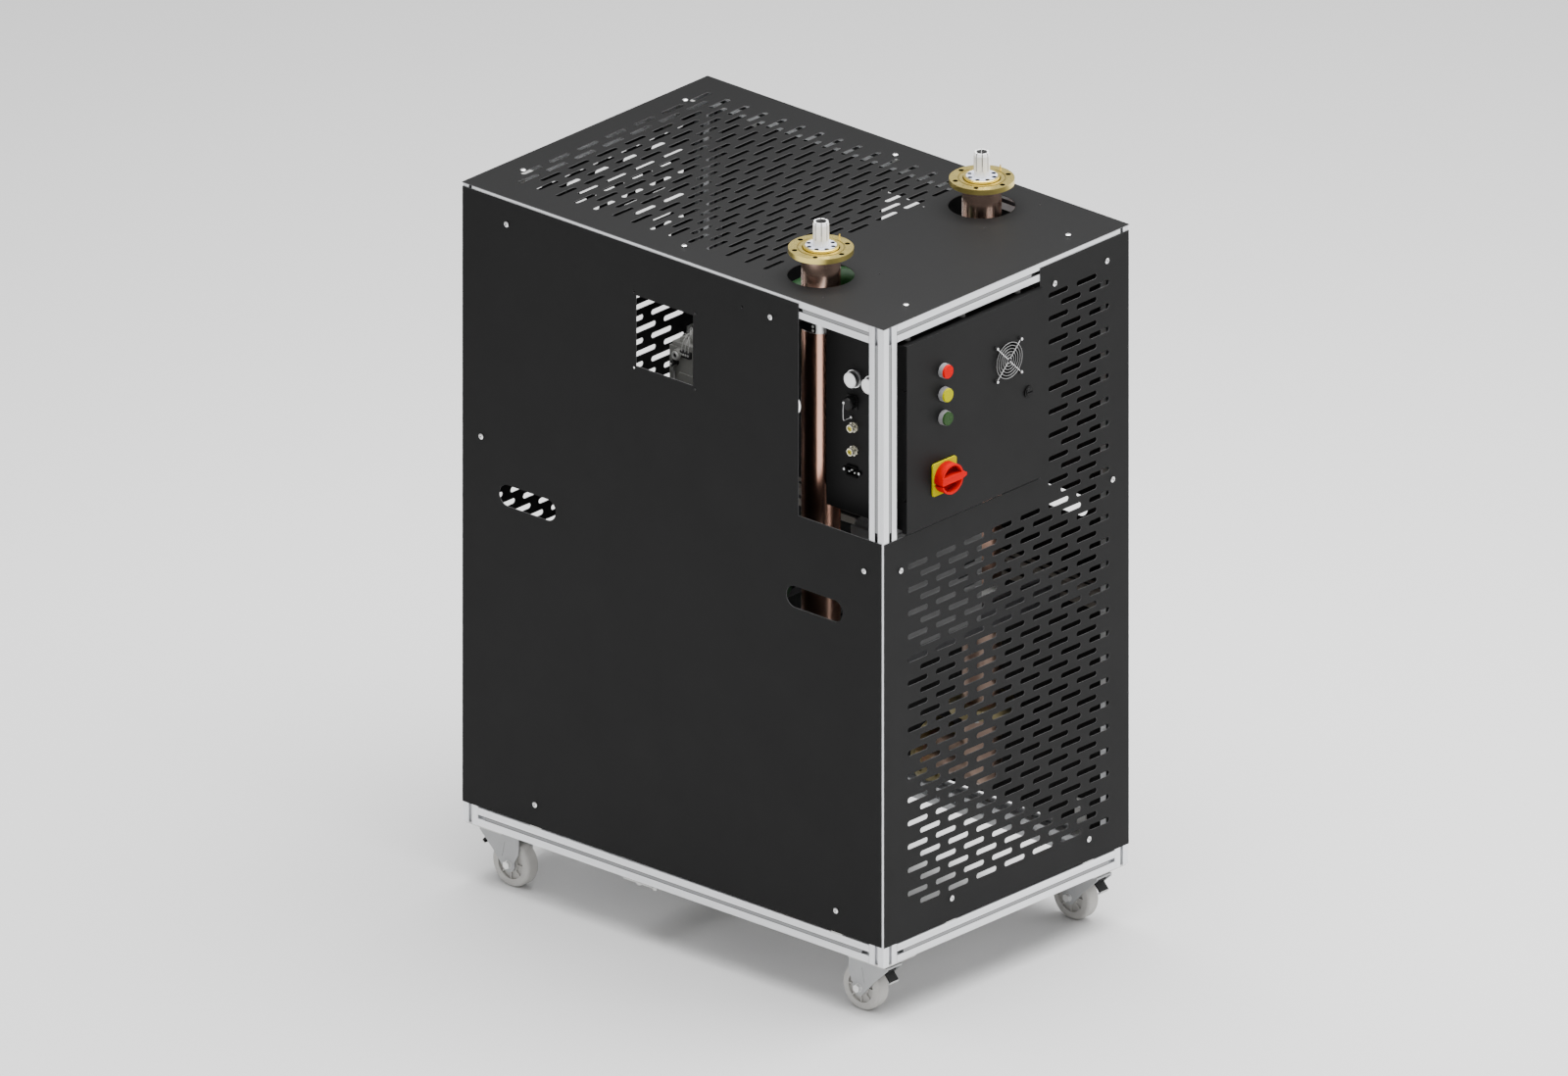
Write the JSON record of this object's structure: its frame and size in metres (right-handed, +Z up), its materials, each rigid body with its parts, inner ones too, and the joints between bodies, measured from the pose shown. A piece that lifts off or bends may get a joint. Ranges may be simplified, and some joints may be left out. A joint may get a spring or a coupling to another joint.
{
  "type": "mobile radio-frequency equipment cabinet",
  "caption": "Castor-mounted slotted-profile frame with black sheet covers, a corner control box and two rigid coaxial lines rising through its top.",
  "frame": {"origin": "centre of the whole cabinet's footprint, on the floor: halfway between the isolator knob's front and the rear screw heads", "axes": "+Z up; -Y the narrow face with the control box; -X the long face with the corner cut-out; the two lines stand side by side along X"},
  "size_m": [0.7394, 1.177, 1.632],
  "materials": {
    "profile": "satin anodised",
    "cover": "satin black powder coat",
    "zinc_steel": "zinc plated",
    "bright_steel": "bright plated",
    "strip": "matt light grey",
    "box_paint": "satin black powder coat",
    "gasket": "closed-cell foam",
    "lock_black": "black",
    "red_button": "translucent red",
    "yellow_button": "translucent yellow",
    "green_button": "translucent green",
    "yellow_plate": "signal yellow",
    "red_knob": "signal red",
    "fan_black": "black",
    "connector_black": "black",
    "gold": "gold plated",
    "copper": "bare copper, lacquered",
    "brass": "turned brass",
    "white_plastic": "white",
    "silver_plate": "silver plated",
    "unit_grey": "painted light grey",
    "unit_beige": "painted grey beige",
    "hose_green": "green hose",
    "castor_grey": "light grey moulding",
    "wheel_grey": "light grey rubber",
    "pedal_dark": "dark grey"
  },
  "bodies": {
    "cabinet": {"posts_front": "profile", "posts_rear": "profile", "bottom_end_rails": "profile", "bottom_side_rails": "profile", "top_end_rails": "profile", "top_side_rails": "profile", "mid_rails": "profile", "cross_bars": "profile", "cover_left": "cover", "cover_right": "cover", "cover_front": "cover", "cover_rear": "cover", "cover_top": "cover", "cover_tabs": "zinc_steel", "cover_screws": "bright_steel", "slot_strips": "strip", "castor_plates": "zinc_steel", "tie_plate": "zinc_steel", "hex_bolts": "zinc_steel", "box_body": "box_paint", "box_hangers": "bright_steel", "box_plate": "zinc_steel", "signal_caps": "bright_steel", "round_connector": "connector_black", "coax_jacks": "gold", "power_inlet": "connector_black", "line_tubes": "copper", "top_flanges": "brass", "insulators": "white_plastic", "inner_conductors": "silver_plate", "line_elbows": "copper", "line_clamps": "zinc_steel", "supply_unit": "unit_grey", "pump_unit": "unit_beige", "green_hoses": "hose_green"},
    "door": {"box_door": "box_paint", "door_seal": "gasket", "button_collars": "bright_steel", "switch_plate": "yellow_plate", "fan_guard": "bright_steel", "fan_screws": "bright_steel", "fan_housing": "fan_black"},
    "lock": {"cam_lock": "lock_black"},
    "red_button": {"button_red": "red_button"},
    "yellow_button": {"button_yellow": "yellow_button"},
    "green_button": {"button_green": "green_button"},
    "isolator_knob": {"switch_knob": "red_knob"},
    "fan": {"fan_rotor": "fan_black"},
    "castor_front_left": {"fork_front_left": "castor_grey"},
    "roller_front_left": {"wheel_front_left": "wheel_grey"},
    "brake_front_left": {"pedal_front_left": "pedal_dark"},
    "castor_front_right": {"fork_front_right": "castor_grey"},
    "roller_front_right": {"wheel_front_right": "wheel_grey"},
    "brake_front_right": {"pedal_front_right": "pedal_dark"},
    "castor_rear_left": {"fork_rear_left": "castor_grey"},
    "roller_rear_left": {"wheel_rear_left": "wheel_grey"},
    "brake_rear_left": {"pedal_rear_left": "pedal_dark"},
    "castor_rear_right": {"fork_rear_right": "castor_grey"},
    "roller_rear_right": {"wheel_rear_right": "wheel_grey"},
    "brake_rear_right": {"pedal_rear_right": "pedal_dark"}
  },
  "joints": [
    {"name": "door_hinge", "type": "hinge", "parent": "cabinet", "child": "door", "pos_m": [-0.305, -0.5512, 1.259], "axis": [0, 0, -1], "range_deg": [0, 110]},
    {"name": "lock_turn", "type": "hinge", "parent": "door", "child": "lock", "pos_m": [0.053, -0.5532, 1.253], "axis": [0, 1, 0], "range_deg": [-90, 0]},
    {"name": "knob_turn", "type": "hinge", "parent": "door", "child": "isolator_knob", "pos_m": [-0.2, -0.5732, 1.1495], "axis": [0, 1, 0], "range_deg": [0, 90]},
    {"name": "fan_spin", "type": "hinge", "parent": "door", "child": "fan", "pos_m": [-0.008, -0.5482, 1.341], "axis": [0, 1, 0], "continuous": true},
    {"name": "green_press", "type": "slide", "parent": "door", "child": "green_button", "axis": [0, 1, 0], "range_m": [0, 0.0035], "stiffness_N_per_m": 300, "springref_m": -0.004},
    {"name": "yellow_press", "type": "slide", "parent": "door", "child": "yellow_button", "axis": [0, 1, 0], "range_m": [0, 0.0035], "stiffness_N_per_m": 300, "springref_m": -0.004},
    {"name": "red_press", "type": "slide", "parent": "door", "child": "red_button", "axis": [0, 1, 0], "range_m": [0, 0.0035], "stiffness_N_per_m": 300, "springref_m": -0.004},
    {"name": "front_left_swivel", "type": "hinge", "parent": "cabinet", "child": "castor_front_left", "pos_m": [-0.313, -0.4982, 0.11], "axis": [0, 0, 1], "continuous": true},
    {"name": "front_left_roll", "type": "hinge", "parent": "castor_front_left", "child": "roller_front_left", "pos_m": [-0.313, -0.4552, 0.05], "axis": [1, 0, 0], "continuous": true},
    {"name": "front_left_brake", "type": "hinge", "parent": "castor_front_left", "child": "brake_front_left", "pos_m": [-0.313, -0.5142, 0.098], "axis": [1, 0, 0], "range_deg": [0, 20]},
    {"name": "front_right_swivel", "type": "hinge", "parent": "cabinet", "child": "castor_front_right", "pos_m": [0.313, -0.4982, 0.11], "axis": [0, 0, 1], "continuous": true},
    {"name": "front_right_roll", "type": "hinge", "parent": "castor_front_right", "child": "roller_front_right", "pos_m": [0.313, -0.4552, 0.05], "axis": [1, 0, 0], "continuous": true},
    {"name": "front_right_brake", "type": "hinge", "parent": "castor_front_right", "child": "brake_front_right", "pos_m": [0.313, -0.5142, 0.098], "axis": [1, 0, 0], "range_deg": [0, 20]},
    {"name": "rear_left_swivel", "type": "hinge", "parent": "cabinet", "child": "castor_rear_left", "pos_m": [-0.313, 0.5318, 0.11], "axis": [0, 0, 1], "continuous": true},
    {"name": "rear_left_roll", "type": "hinge", "parent": "castor_rear_left", "child": "roller_rear_left", "pos_m": [-0.313, 0.4888, 0.05], "axis": [1, 0, 0], "continuous": true},
    {"name": "rear_left_brake", "type": "hinge", "parent": "castor_rear_left", "child": "brake_rear_left", "pos_m": [-0.313, 0.5478, 0.098], "axis": [-1, 0, 0], "range_deg": [0, 20]},
    {"name": "rear_right_swivel", "type": "hinge", "parent": "cabinet", "child": "castor_rear_right", "pos_m": [0.313, 0.5318, 0.11], "axis": [0, 0, 1], "continuous": true},
    {"name": "rear_right_roll", "type": "hinge", "parent": "castor_rear_right", "child": "roller_rear_right", "pos_m": [0.313, 0.4888, 0.05], "axis": [1, 0, 0], "continuous": true},
    {"name": "rear_right_brake", "type": "hinge", "parent": "castor_rear_right", "child": "brake_rear_right", "pos_m": [0.313, 0.5478, 0.098], "axis": [-1, 0, 0], "range_deg": [0, 20]}
  ]
}
